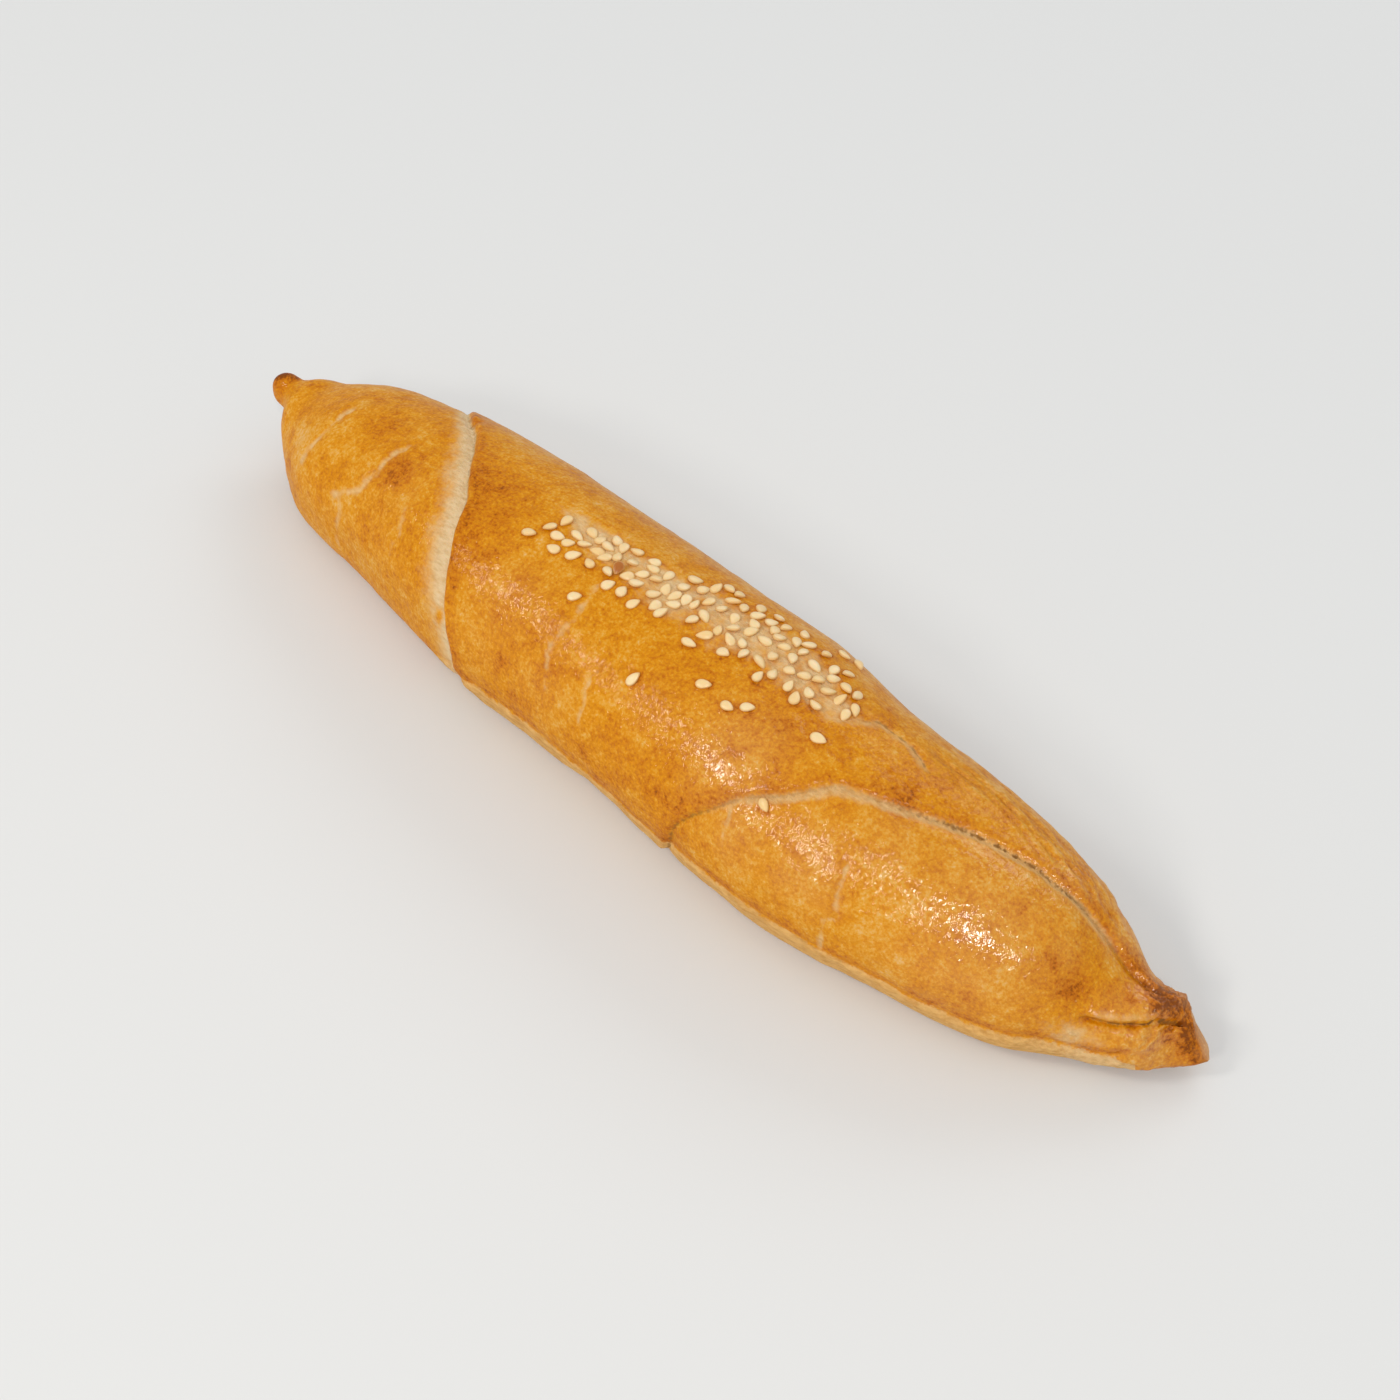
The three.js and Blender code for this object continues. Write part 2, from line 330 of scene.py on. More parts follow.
class Relief:
    """What the seams, cracks, folds and seeds do to the plain outline: height over it, and masks.

    Wobble makes a line wander and ragged frays an edge. Both are noise of about -1 to 1.

    bare     depth in millimetres inside the dough that no glaze covers, negative outside it
    pale     how much the dough shows through the glaze
    floury   1 where the bare dough is floury and 0 where it is baked
    toast    how much browner the glaze is, with painted shade beside the left lip
    seam     signed distance in millimetres from the nearest dark line: cracks, and painted shade at the left lip and the beak's fold
    dark     how dark that line is there
    halo     the ring of glaze round each seed
    gloss    how thick and shiny the glaze is
    foot     1 on the underside
    back     1 on the back side, whose glaze is thin and tan, painted paler there for its sheen at grazing angles
    """

    def __init__(self, x, angle):
        self.x = x
        self.angle = wrap(angle)
        self.points = outline_point(x, angle)
        self.normals = outline_normal(x, angle)
        self.height = np.zeros(len(x))
        names = ("pale", "floury", "toast_and_shade", "dark", "halo", "gloss")
        self.masks = {name: np.zeros(len(x)) for name in names}
        self.masks["bare"] = np.full(len(x), -EDGE_REACH)
        self.masks["seam"] = np.full(len(x), EDGE_REACH)
        self.wobble = 0.5 * rough(self.points, 5, 1) + 0.22 * rough(self.points, 1.7, 2)
        self.ragged = rough(self.points, 3.2, 3) + 0.6 * rough(self.points, 1.2, 4)

    def show(self, mask, amount):
        self.masks[mask] = np.maximum(self.masks[mask], amount)

    def add(self, mask, amount):
        self.masks[mask] += amount

    def spot(self, x, angle, length, spread):
        """1 at a place and 0 well away from it: a reach in millimetres and one in degrees."""
        return bump(self.x - x, length) * bump(self.angle - angle, spread)

    def near(self, x, angle, radius):
        """1 at a place and 0 well beyond a radius round it."""
        away = np.linalg.norm(self.points - outline_point(x, angle), axis=1)
        return bump(away, radius)

    def measure(self, line, wander):
        """The line's measures, with a line that wanders by up to about that many millimetres."""
        across, along, past = line.measure(self.points)
        return across + wander * self.wobble, along, past

    def crack_and_shade(self, across, darkness):
        """A dark line of a crack or of painted shade, where nearer than the lines before it."""
        nearer = np.abs(across) < np.abs(self.masks["seam"])
        near = 1 - smoothstep(EDGE_REACH * 0.6, EDGE_REACH, np.abs(across))
        self.masks["seam"] = np.where(nearer, across, self.masks["seam"])
        self.masks["dark"] = np.where(nearer, darkness * near, self.masks["dark"])

    def left_lip(self):
        """The middle layer lies over the cone, whose edge under it stayed bare and floury."""
        across, along, _ = self.measure(LEFT_SEAM, 0.7)
        over, under = np.clip(across, 0, None), np.clip(-across, 0, None)
        thick = 0.5 + 0.75 * smoothstep(-48, -20, self.angle)
        lip = thick * smoothstep(-0.3, 1.1, across) * np.exp(-over / 9)
        self.height += lip - 0.55 * smoothstep(-0.5, 0.3, -across) * np.exp(-under / 10)
        self.height -= 0.25 * bump(across + 0.5, 0.7)
        narrowness = under / read_line(STRIP_WIDTH, along)
        strip = 1 - smoothstep(0.1, 1.6, narrowness + 0.22 * self.ragged)
        strip *= smoothstep(-0.5, 0.2, -across) * (1 - smoothstep(108, 116, self.angle))
        self.show("pale", strip)
        self.show("floury", strip * (1 - smoothstep(2, 8, under)))
        drip = self.spot(-43.6, 77, 1.3, 6)
        self.masks["pale"] *= 1 - drip
        self.height += 0.3 * drip
        # A browner band on the middle layer beside its lip: browner glaze, and painted shade.
        self.add("toast_and_shade", np.where(across > 0, 0.14 * bump(over - 1.6, 3.0), 0))
        # A dark line at the lip's edge towards the back: painted shade under the lip.
        self.crack_and_shade(across + 0.1, 0.4 * smoothstep(-48, -30, self.angle))
        for x, angle, radius in SEAM_HOLES:
            hole = self.near(x, angle, radius)
            self.height -= 1.0 * hole
            self.show("dark", 0.9 * hole)

    def right_seam(self):
        """The lobe comes out from under the middle layer, and beside the far ridge."""
        across, _, past = self.measure(RIGHT_SEAM, 0.5)
        inside = 1 - smoothstep(0, 5, past)
        over, under = np.clip(across, 0, None), np.clip(-across, 0, None)
        self.height += inside * 0.55 * smoothstep(-0.3, 1.2, across) * np.exp(-over / 6)
        self.height -= inside * 0.4 * smoothstep(-0.5, 0.3, -across) * np.exp(-under / 4)
        valley = smoothstep(45, 75, self.x)
        self.height -= inside * (0.4 + 0.2 * valley) * bump(across + 0.1, 0.85)
        self.height -= inside * valley * 0.6 * bump(across, 4.2)
        rim_width = read_line(RIM_WIDTH, self.x)
        rim = inside * smoothstep(-0.9, 0.1, -across) * smoothstep(23, 36, self.x)
        rim *= 1 - smoothstep(94, 102, self.x)
        rim *= 1 - smoothstep(rim_width * 0.6, rim_width * 1.5, under + 0.4 * self.ragged)
        self.show("pale", 0.8 * rim)
        self.show("floury", 0.35 * rim)
        self.crack_and_shade(across, inside * read_line(SEAM_DARKNESS, self.x))
        self.add("toast_and_shade", inside * np.where(across > 0, 0.14 * bump(over - 1.2, 1.8), 0))
        notch = self.near(*NOTCH)
        self.height -= 1.2 * notch
        self.show("dark", 0.7 * notch)

    def crown_tear(self):
        """Along the crown the dough opened under the seeds, and closes in a porous slit."""
        half_width = read_line(TEAR_HALF_WIDTH, self.x)
        aside = self.angle - read_line(TEAR_MIDDLE, self.x)
        away = np.abs(aside + 7 * self.wobble + 6 * rough(self.points, 9, 6))
        open_dough = 1 - smoothstep(half_width * 0.2, half_width * 1.4, away)
        open_dough *= smoothstep(-42, -28, self.x) * (1 - smoothstep(36, 44, self.x))
        open_dough *= np.clip(0.85 + 0.4 * self.ragged, 0, 1)
        self.show("pale", 0.85 * open_dough)
        self.show("floury", 0.7 * open_dough)
        crumb = 0.2 * rough(self.points, 2.2, 5) + 0.16 * rough(self.points, 1.1, 7)
        self.height += open_dough * (crumb - 0.25)
        across, along, past = self.measure(CROWN_SLIT, 0.6)
        inside = 1 - smoothstep(0, 2.5, past)
        pale = inside * smoothstep(-0.9, 0.1, -across)
        pale *= 1 - smoothstep(0.6, 2.6, np.clip(-across, 0, None) + 0.4 * self.ragged)
        self.show("pale", 0.6 * pale)
        self.show("floury", 0.4 * pale)
        self.crack_and_shade(across, 0.6 * inside * smoothstep(3, 9, along))
        self.height -= inside * 0.28 * bump(across, 0.7)

    def thin_cracks(self):
        """Thin cracks and veins, where the crust stretched and shows the dough."""
        for line, width, depth, strength in THIN_CRACKS:
            across, _, past = self.measure(line, 2.0)
            shown = (1 - smoothstep(0, 3, past)) * bump(across, width * (1 + 0.4 * self.ragged))
            self.show("pale", strength * shown * np.clip(0.8 + 0.9 * self.ragged, 0, 1))
            self.show("floury", 0.3 * shown)
            self.height -= depth * shown

    def beak(self):
        """Pinching folded the beak: an upper lobe with a pale lip lies on a lower one."""
        across, along, past = self.measure(BEAK_FOLD, 0.25)
        inside = (1 - smoothstep(0, 2.5, past)) * smoothstep(-1.5, 3, along)
        upper = smoothstep(-0.25, 0.6, across) * np.exp(-np.clip(across, 0, None) / 4)
        lower = smoothstep(-0.25, 0.8, -across) * np.exp(-np.clip(-across, 0, None) / 4)
        self.height += inside * (0.9 * upper - 0.8 * lower)
        self.height -= inside * 0.9 * bump(across + 0.35, 0.6)
        lip = inside * bump(across - 0.9, 1.0) * (1 - smoothstep(108, 113, self.x))
        self.show("pale", 0.42 * lip)
        self.show("floury", 0.4 * inside)
        # A dark line along the fold: painted shadow under the upper lobe's lip.
        self.crack_and_shade(across + 0.3, inside * read_line(FOLD_SHADOW, self.x))
        thin = self.spot(101.2, 74, 4.5, 17)
        self.show("pale", thin * np.clip(0.8 + 0.5 * self.ragged, 0, 1))
        self.show("floury", 0.5 * thin)
        for height, x, angle, length, spread in BEAK_KNOBS:
            self.height += height * self.spot(x, angle, length, spread)
        end = smoothstep(102, 110, self.x)
        curls = 1 - 2 * np.abs(rough(self.points + 1.5 * self.wobble[:, None], 2.4, 41))
        self.height += end * (0.55 * curls + 0.3 * rough(self.points, 1.3, 42))
        self.add("toast_and_shade", end * (0.11 - 0.16 * curls))

    def skirt(self):
        """Below the skirt no glaze was brushed, and the front foot tucks under."""
        for line, below in ((SKIRT, -1), (BACK_SKIRT, 1)):
            across, _, past = self.measure(line, 0.9)
            down = across * below
            inside = past < 4
            depth = np.minimum(down - 0.4, 14 - down) - 0.5 * past
            self.show("bare", np.where(inside, depth, -EDGE_REACH))
            fade = 1 - smoothstep(0, 6, past)
            self.add("toast_and_shade", fade * 0.18 * bump(down + 0.9, 1.0))
            self.height -= fade * 0.3 * bump(down, 0.7)
            self.height += fade * 0.3 * bump(down - 2.0, 1.5) * (1 + self.ragged)
        tuck = smoothstep(88, 102, self.angle) * (1 - smoothstep(135, 165, self.angle))
        self.height -= read_line(TUCK_DEPTH, self.x) * tuck

    def back_wrinkles(self):
        """Lengthwise wrinkles on the back of the far ridge."""
        window = smoothstep(40, 62, self.x) * (1 - smoothstep(88, 102, self.x))
        window *= smoothstep(8, 30, -self.angle) * (1 - smoothstep(85, 100, -self.angle))
        stretched = self.points * (0.18, 1, 1)
        folds = rough(stretched, 1.6, 31) + 0.6 * rough(stretched, 0.8, 32)
        self.height += 0.4 * window * folds
        self.add("toast_and_shade", -0.2 * window * folds)

    def seeds(self, places):
        """The glaze gathered in a low, browner ring round each seed."""
        nearest = np.full(len(self.x), 99.0)
        for middle, long_axis in places:
            near = np.abs(self.points[:, 0] - middle[0]) < 5
            away = self.points[near] - middle
            ahead = away @ long_axis
            reach = (SEED_LENGTH - SEED_WIDTH) / 2
            away = away - np.clip(ahead, -reach, reach)[:, None] * long_axis
            nearest[near] = np.minimum(nearest[near], np.linalg.norm(away, axis=1))
        ring = bump(nearest - 1.15, 0.45)
        self.height += 0.14 * ring
        self.show("halo", ring)

    def patches(self):
        """Browner and paler patches of the glaze."""
        drift = np.stack([rough(self.points, 6, key) for key in (11, 12, 13)], axis=1)
        shaken = self.points + 2.2 * drift
        for x, angle, radius, strength in PATCHES:
            away = np.linalg.norm(shaken - outline_point(x, angle), axis=1)
            self.add("toast_and_shade", strength * bump(away, radius))
        for x, angle, radius, strength in SHINY_PATCHES:
            away = np.linalg.norm(shaken - outline_point(x, angle), axis=1)
            self.show("gloss", strength * bump(away, radius))


# Browner (+) and paler (-) patches of the glaze: x, angle, radius and strength.
PATCHES = (
    (-119.5, 0, 3, 0.5),
    (-117, -10, 3, 0.25),
    (-113, 20, 4, 0.1),
    (-103, 40, 6, -0.1),
    (-103.5, 34, 1.4, 0.3),
    (-103.7, 50, 1.3, 0.3),
    (-101, 76, 1.8, 0.25),
    (-71, 23, 4.2, 0.3),
    (-88, 40, 16, -0.03),
    (-81, 12, 4, 0.14),
    (-81, 45, 3.4, 0.16),
    (-68, 58, 7, 0.08),
    (-46, 22, 7, 0.14),
    (-50, 0, 6, 0.08),
    (-40, 38, 6, 0.12),
    (-20, 2, 12, -0.1),
    (-28, 62, 6, 0.12),
    (-22, 52, 7, 0.08),
    (-1.5, 82, 1.6, 0.25),
    (-4, 45, 10, 0.05),
    (12, 17, 8, 0.12),
    (17, 72, 10, 0.12),
    (29, 16, 8, 0.12),
    (36, 8, 6, 0.1),
    (54, 1, 6, 0.12),
    (64, -22, 7, 0.1),
    (56, 13, 4, 0.1),
    (82, 62, 10, 0.04),
    (98, 26, 3.2, 0.17),
    (97, 41, 3.2, 0.17),
    (91, 34, 6, 0.1),
    (104, -25, 4, 0.16),
    (111, -35, 5, 0.36),
    (110, -5, 3, 0.22),
    (117, -20, 4, 0.25),
    (119.5, 50, 5.5, 0.38),
)


# Where the glaze lies thick: x, angle, radius and strength.
SHINY_PATCHES = (
    (-66, 36, 7, 0.2),
    (-29, 45, 10, 0.4),
    (-14, 58, 8, 0.3),
    (10, 45, 8, 0.25),
    (28, 33, 10, 0.9),
    (36, 55, 8, 0.8),
    (50, 50, 9, 0.9),
    (60, 26, 9, 0.6),
    (80, 36, 15, 1.0),
    (92, 12, 5, 0.6),
    (86, -14, 7, 0.7),
    (98, -25, 5, 0.6),
    (108, 22, 7, 0.8),
    (110, -20, 6, 0.6),
    (113, 60, 7, 0.8),
)


def pinch_ends(points):
    """Pinching curled both ends up and back a little, and drew the beak to a low, flat point."""
    x, y, z = points.T
    blunt = smoothstep(92, 116, -x)
    beak = smoothstep(104, 116, x)
    tip = smoothstep(108, 119, x)
    high = smoothstep(4.5, 9.5, z)
    aside = y - outline_point(np.clip(x, -HALF_LENGTH, HALF_LENGTH), 0)[:, 1]
    shift = np.outer(blunt, (0, 0.5, 0.9)) + np.outer(beak, (0, 1.2, 0.9))
    shift += np.outer(tip, (0.4, 1.4, -1.6)) + np.outer(tip * high, (-3.4, -0.6, 0.4))
    shift += np.outer(smoothstep(112, 120, x) * aside, (0.3, -0.5, 0))
    return points + shift


def crust_surface(seed_places):
    """Points of the crust, ring by ring and then the two tips, and its masks by name."""
    x, angle = crust_grid()
    grid_x, grid_angle = (g.ravel() for g in np.meshgrid(x, angle, indexing="ij"))
    relief = Relief(grid_x, grid_angle)
    relief.left_lip()
    relief.right_seam()
    relief.crown_tear()
    relief.thin_cracks()
    relief.beak()
    relief.skirt()
    relief.back_wrinkles()
    relief.seeds(seed_places)
    relief.patches()
    plain = relief.points
    lumps = sum(height * rough(plain, size, key) for height, size, key in LUMPS)
    foot = smoothstep(118, 150, np.abs(relief.angle))
    height = (relief.height + lumps) * (1 - foot) - foot * (0.12 + 0.12 * rough(plain, 5, 24))
    end = smoothstep(0, 4, HALF_LENGTH - np.abs(grid_x))
    points = plain + relief.normals * (height * end)[:, None]
    points[:, 2] = np.maximum(points[:, 2], 0)
    masks = dict(relief.masks)
    for name in ("pale", "floury", "dark", "halo", "gloss"):
        masks[name] = np.clip(masks[name], 0, 1) * (1 - foot)
    for name in ("bare", "seam"):
        masks[name] = np.clip(masks[name], -EDGE_REACH, EDGE_REACH)
    masks["foot"] = foot
    # The back side, painted tan and paler, partly for its thin glaze and partly as painted sheen at
    # grazing angles.
    masks["back"] = smoothstep(25, 90, 12 * relief.ragged - relief.angle) * (1 - foot)
    tips = np.array([outline_point(sign * HALF_LENGTH, 0) for sign in (-1, 1)])
    ends = (slice(0, len(angle)), slice(-len(angle), None))
    masks = {
        name: np.append(mask, [mask[end].mean() for end in ends]) for name, mask in masks.items()
    }
    points = np.vstack([points, tips])
    return pinch_ends(points), masks


def corner_map(*places):
    """Flat-map places of the corners of many faces: for each corner, its u and v."""
    return np.stack([np.stack(np.broadcast_arrays(u, v), axis=-1) for u, v in places], axis=1)


def crust_faces():
    """Faces over the grid's points, and the place of each corner on a flat map of the crust."""
    sides = FINE_SIDES + COARSE_SIDES
    tip_low, tip_high = RINGS * sides, RINGS * sides + 1
    ring, side = (g.ravel() for g in np.meshgrid(range(RINGS - 1), range(sides), indexing="ij"))
    after = (side + 1) % sides
    rows, columns = (ring, ring, ring + 1, ring + 1), (side, after, after, side)
    quads = np.stack([r * sides + c for r, c in zip(rows, columns)], axis=-1)
    u, next_u = (ring + 1) / (RINGS + 1), (ring + 2) / (RINGS + 1)
    v, next_v = side / sides, (side + 1) / sides
    quad_map = corner_map((u, v), (u, next_v), (next_u, next_v), (next_u, v))
    around = np.arange(sides)
    after = (around + 1) % sides
    last = (RINGS - 1) * sides
    low = np.stack([np.full(sides, tip_low), after, around], axis=-1)
    high = np.stack([last + around, last + after, np.full(sides, tip_high)], axis=-1)
    near, far = 1 / (RINGS + 1), RINGS / (RINGS + 1)
    here, middle, there = around / sides, (around + 0.5) / sides, (around + 1) / sides
    low_map = corner_map((0, middle), (near, there), (near, here))
    high_map = corner_map((far, here), (far, there), (1, middle))
    faces = quads.tolist() + low.tolist() + high.tolist()
    corners = np.concatenate([m.reshape(-1, 2) for m in (quad_map, low_map, high_map)])
    return faces, corners


def mesh_object(name, points, faces, masks, corners=None):
    mesh = bpy.data.meshes.new(name)
    mesh.from_pydata((points * MM).tolist(), [], faces)
    mesh.update()
    for mask, values in masks.items():
        attribute = mesh.attributes.new(mask, "FLOAT", "POINT")
        attribute.data.foreach_set("value", np.asarray(values, np.float32))
    if corners is not None:
        flat = mesh.uv_layers.new(name="OFBake")
        flat.data.foreach_set("uv", corners.astype(np.float32).ravel())
    mesh.shade_smooth()
    piece = bpy.data.objects.new(name, mesh)
    bpy.context.scene.collection.objects.link(piece)
    return piece


# ---------------------------------------------------------------------------------------------
# Materials
# ---------------------------------------------------------------------------------------------


class Nodes:
    """Short ways to build a material's node tree."""

    def __init__(self, name):
        self.material = bpy.data.materials.new(name)
        self.material.use_nodes = True
        self.tree = self.material.node_tree
        self.shader = self.tree.nodes["Principled BSDF"]
        self.place = self.new("ShaderNodeTexCoord").outputs["Object"]

    def new(self, kind, **settings):
        node = self.tree.nodes.new(kind)
        for key, value in settings.items():
            setattr(node, key, value)
        return node

    def feed(self, socket, source):
        if isinstance(source, bpy.types.NodeSocket):
            self.tree.links.new(source, socket)
        else:
            socket.default_value = source

    def mask(self, name):
        return self.new("ShaderNodeAttribute", attribute_name=name).outputs["Fac"]

    def noise(self, size, detail=2.0, roughness=0.5, distortion=0.0, stretch=None):
        """Noise from 0 to 1 with lumps of a size in millimetres, stretched along the axes."""
        node = self.new("ShaderNodeTexNoise")
        place = self.place
        if stretch:
            mapping = self.new("ShaderNodeMapping")
            mapping.inputs["Scale"].default_value = stretch
            self.feed(mapping.inputs["Vector"], place)
            place = mapping.outputs["Vector"]
        self.feed(node.inputs["Vector"], place)
        node.inputs["Scale"].default_value = 1 / (size * MM)
        node.inputs["Detail"].default_value = detail
        node.inputs["Roughness"].default_value = roughness
        node.inputs["Distortion"].default_value = distortion
        return node.outputs["Fac"]

    def math(self, operation, a, b=0.0, c=0.0):
        node = self.new("ShaderNodeMath", operation=operation)
        for socket, source in zip(node.inputs, (a, b, c)):
            self.feed(socket, source)
        return node.outputs[0]

    def range(self, value, low, high, to_low=0.0, to_high=1.0):
        node = self.new("ShaderNodeMapRange", interpolation_type="SMOOTHSTEP")
        sources = (value, low, high, to_low, to_high)
        for name, source in zip(("Value", "From Min", "From Max", "To Min", "To Max"), sources):
            self.feed(node.inputs[name], source)
        return node.outputs["Result"]

    def ramp(self, value, *stops):
        node = self.new("ShaderNodeValToRGB")
        elements = node.color_ramp.elements
        for place, _ in stops[2:]:
            elements.new(place)
        for element, (place, colour) in zip(elements, stops):
            element.position = place
            element.color = (*colour, 1)
        self.feed(node.inputs["Fac"], value)
        return node.outputs["Color"]

    def mix(self, amount, a, b):
        node = self.new("ShaderNodeMix", data_type="RGBA")
        self.feed(node.inputs["Factor"], amount)
        for name, source in (("A", a), ("B", b)):
            socket = next(s for s in node.inputs if s.name == name and s.type == "RGBA")
            self.feed(socket, source if isinstance(source, bpy.types.NodeSocket) else (*source, 1))
        return next(s for s in node.outputs if s.type == "RGBA")

    def bump(self, height, distance, strength=1.0, normal=None):
        node = self.new("ShaderNodeBump")
        node.inputs["Distance"].default_value = distance * MM
        self.feed(node.inputs["Strength"], strength)
        self.feed(node.inputs["Height"], height)
        if normal is not None:
            self.feed(node.inputs["Normal"], normal)
        return node.outputs["Normal"]


PALE_GOLD = (0.74, 0.44, 0.16)
SUN_GOLD = (0.71, 0.34, 0.035)
AMBER = (0.67, 0.26, 0.001)
BROWN = (0.50, 0.14, 0.001)
DARK_BROWN = (0.22, 0.055, 0.003)
# Brown of the cracks, and of painted shade along the left lip and the beak's fold.
CRACK_AND_SHADE_BROWN = (0.25, 0.11, 0.025)
# Tan of the back side: thin glaze, made paler by a painted sheen at grazing angles.
SHEEN_TAN = (0.75, 0.48, 0.26)
SHEEN_TAN_BROWN = (0.58, 0.31, 0.145)
SKIRT_DOUGH = (0.78, 0.46, 0.16)
SKIRT_SHADE = (0.60, 0.30, 0.08)
FLOURY_DOUGH = (0.77, 0.58, 0.34)
FLOURY_SHADE = (0.62, 0.42, 0.20)
BAKED_FOOT = (0.46, 0.22, 0.075)


def crust_material():
    nodes = Nodes("crust")
    shader = nodes.shader
    blotch = nodes.noise(12, detail=3, roughness=0.6, distortion=0.6)
    mottle = nodes.noise(3.8, detail=3, roughness=0.6, distortion=0.4)
    fine = nodes.noise(1.5, detail=3, roughness=0.65)
    speckle = nodes.noise(0.6, detail=2, roughness=0.6)

    # How brown the glaze is: 0 is pale gold and 1 is dark brown.
    heat = nodes.math("ADD", nodes.mask("toast_and_shade"), -0.74)
    for lumps, share in ((blotch, 0.6), (mottle, 0.5), (fine, 0.6), (speckle, 0.8)):
        heat = nodes.math("MULTIPLY_ADD", lumps, share, heat)
    heat = nodes.math("MULTIPLY_ADD", nodes.mask("halo"), 0.2, heat)
    golden = nodes.ramp(
        heat, (0.14, PALE_GOLD), (0.34, SUN_GOLD), (0.5, AMBER), (0.8, BROWN), (1.0, DARK_BROWN)
    )
    # The back side turns tan: thin glaze, and a painted sheen at grazing angles.
    sheen_tan = nodes.ramp(heat, (0.3, SHEEN_TAN), (0.68, SHEEN_TAN_BROWN))
    golden = nodes.mix(nodes.math("MULTIPLY", nodes.mask("back"), 0.85), golden, sheen_tan)

    # Bare dough shows where no glaze was brushed, with a ragged edge, and through thin glaze.
    depth = nodes.math("MULTIPLY_ADD", nodes.math("SUBTRACT", fine, 0.5), 2.2, nodes.mask("bare"))
    bare = nodes.range(depth, -0.3, 0.35)
    thin = nodes.math("MULTIPLY_ADD", nodes.math("SUBTRACT", fine, 0.5), 0.9, nodes.mask("pale"))
    bare = nodes.math("MAXIMUM", bare, nodes.range(thin, 0.12, 0.95))
    streak = nodes.noise(0.9, detail=3, roughness=0.65, stretch=(0.35, 1, 1))
    skirt = nodes.ramp(streak, (0.32, SKIRT_SHADE), (0.62, SKIRT_DOUGH))
    floury = nodes.ramp(streak, (0.28, FLOURY_SHADE), (0.58, FLOURY_DOUGH))
    dough = nodes.mix(nodes.mask("floury"), skirt, floury)
    colour = nodes.mix(bare, golden, dough)
    foot_colour = nodes.ramp(mottle, (0.34, BROWN), (0.62, BAKED_FOOT))
    colour = nodes.mix(nodes.mask("foot"), colour, foot_colour)

    # Dark cracks and painted shade lines, wider and narrower by turns like a row of pores.
    pores = nodes.noise(1.1, detail=2, roughness=0.6)
    reach = nodes.math("MULTIPLY", nodes.math("SUBTRACT", pores, 0.42), 1.8)
    gap = nodes.math("SUBTRACT", reach, nodes.math("ABSOLUTE", nodes.mask("seam")))
    crack_and_shade = nodes.math("MULTIPLY", nodes.range(gap, -0.3, 0.25), nodes.mask("dark"))
    colour = nodes.mix(crack_and_shade, colour, CRACK_AND_SHADE_BROWN)
    nodes.feed(shader.inputs["Base Color"], colour)

    # The glaze dried in fine wrinkles, which break its shine into sparks.
    matte = nodes.math("MAXIMUM", bare, nodes.mask("foot"))
    matte = nodes.math("MAXIMUM", matte, nodes.math("MULTIPLY", nodes.mask("back"), 0.5))
    matte = nodes.math("MAXIMUM", matte, crack_and_shade)
    glazed = nodes.math("SUBTRACT", 1.0, matte)
    nodes.feed(shader.inputs["Roughness"], nodes.range(matte, 0.0, 1.0, 0.5, 0.8))
    shader.inputs["Specular IOR Level"].default_value = 0.05
    thickness = nodes.math("MULTIPLY_ADD", nodes.mask("gloss"), 0.85, 0.15)
    shine = nodes.math("MULTIPLY", glazed, thickness)
    unburnt = nodes.range(heat, 0.65, 0.95, 1.0, 0.3)
    nodes.feed(shader.inputs["Coat Weight"], nodes.math("MULTIPLY", shine, unburnt))
    shader.inputs["Coat Roughness"].default_value = 0.06
    shader.inputs["Coat IOR"].default_value = 1.7
    shader.inputs["Subsurface Weight"].default_value = 0.08
    shader.inputs["Subsurface Radius"].default_value = (1.0, 0.4, 0.15)
    shader.inputs["Subsurface Scale"].default_value = 0.8 * MM
    wrinkles = nodes.noise(1.2, detail=2.0, distortion=1.0, stretch=(1.25, 0.8, 0.8))
    ripples = nodes.noise(2.6, detail=1)
    crumbs = nodes.noise(0.7, detail=3, roughness=0.7)
    surface = nodes.bump(ripples, 0.3, strength=1.0)
    rough_dough = nodes.bump(crumbs, 0.4, matte, surface)
    nodes.feed(shader.inputs["Normal"], nodes.bump(wrinkles, 0.18, glazed, rough_dough))
    nodes.feed(shader.inputs["Coat Normal"], nodes.bump(wrinkles, 0.21, glazed, rough_dough))
    return nodes.material


IVORY = (0.88, 0.68, 0.38)
GLAZED_IVORY = (0.84, 0.56, 0.22)
TOASTED = (0.42, 0.13, 0.012)
SEED_EDGE = (0.66, 0.36, 0.10)


def seed_material():
    nodes = Nodes("sesame")
    shader = nodes.shader
    body = nodes.ramp(nodes.mask("tone"), (0.0, IVORY), (0.5, GLAZED_IVORY), (1.0, TOASTED))
    edge = nodes.mix(0.75, body, SEED_EDGE)
    colour = nodes.mix(nodes.mask("rim"), body, edge)
    nodes.feed(shader.inputs["Base Color"], colour)
    shader.inputs["Roughness"].default_value = 0.3
    shader.inputs["Subsurface Weight"].default_value = 0.2
    shader.inputs["Subsurface Radius"].default_value = (1.0, 0.6, 0.3)
    shader.inputs["Subsurface Scale"].default_value = 0.5 * MM
    grain = nodes.noise(0.3, detail=2)
    nodes.feed(shader.inputs["Normal"], nodes.bump(grain, 0.05, strength=0.5))
    return nodes.material


# ---------------------------------------------------------------------------------------------
# Sesame seeds
# ---------------------------------------------------------------------------------------------

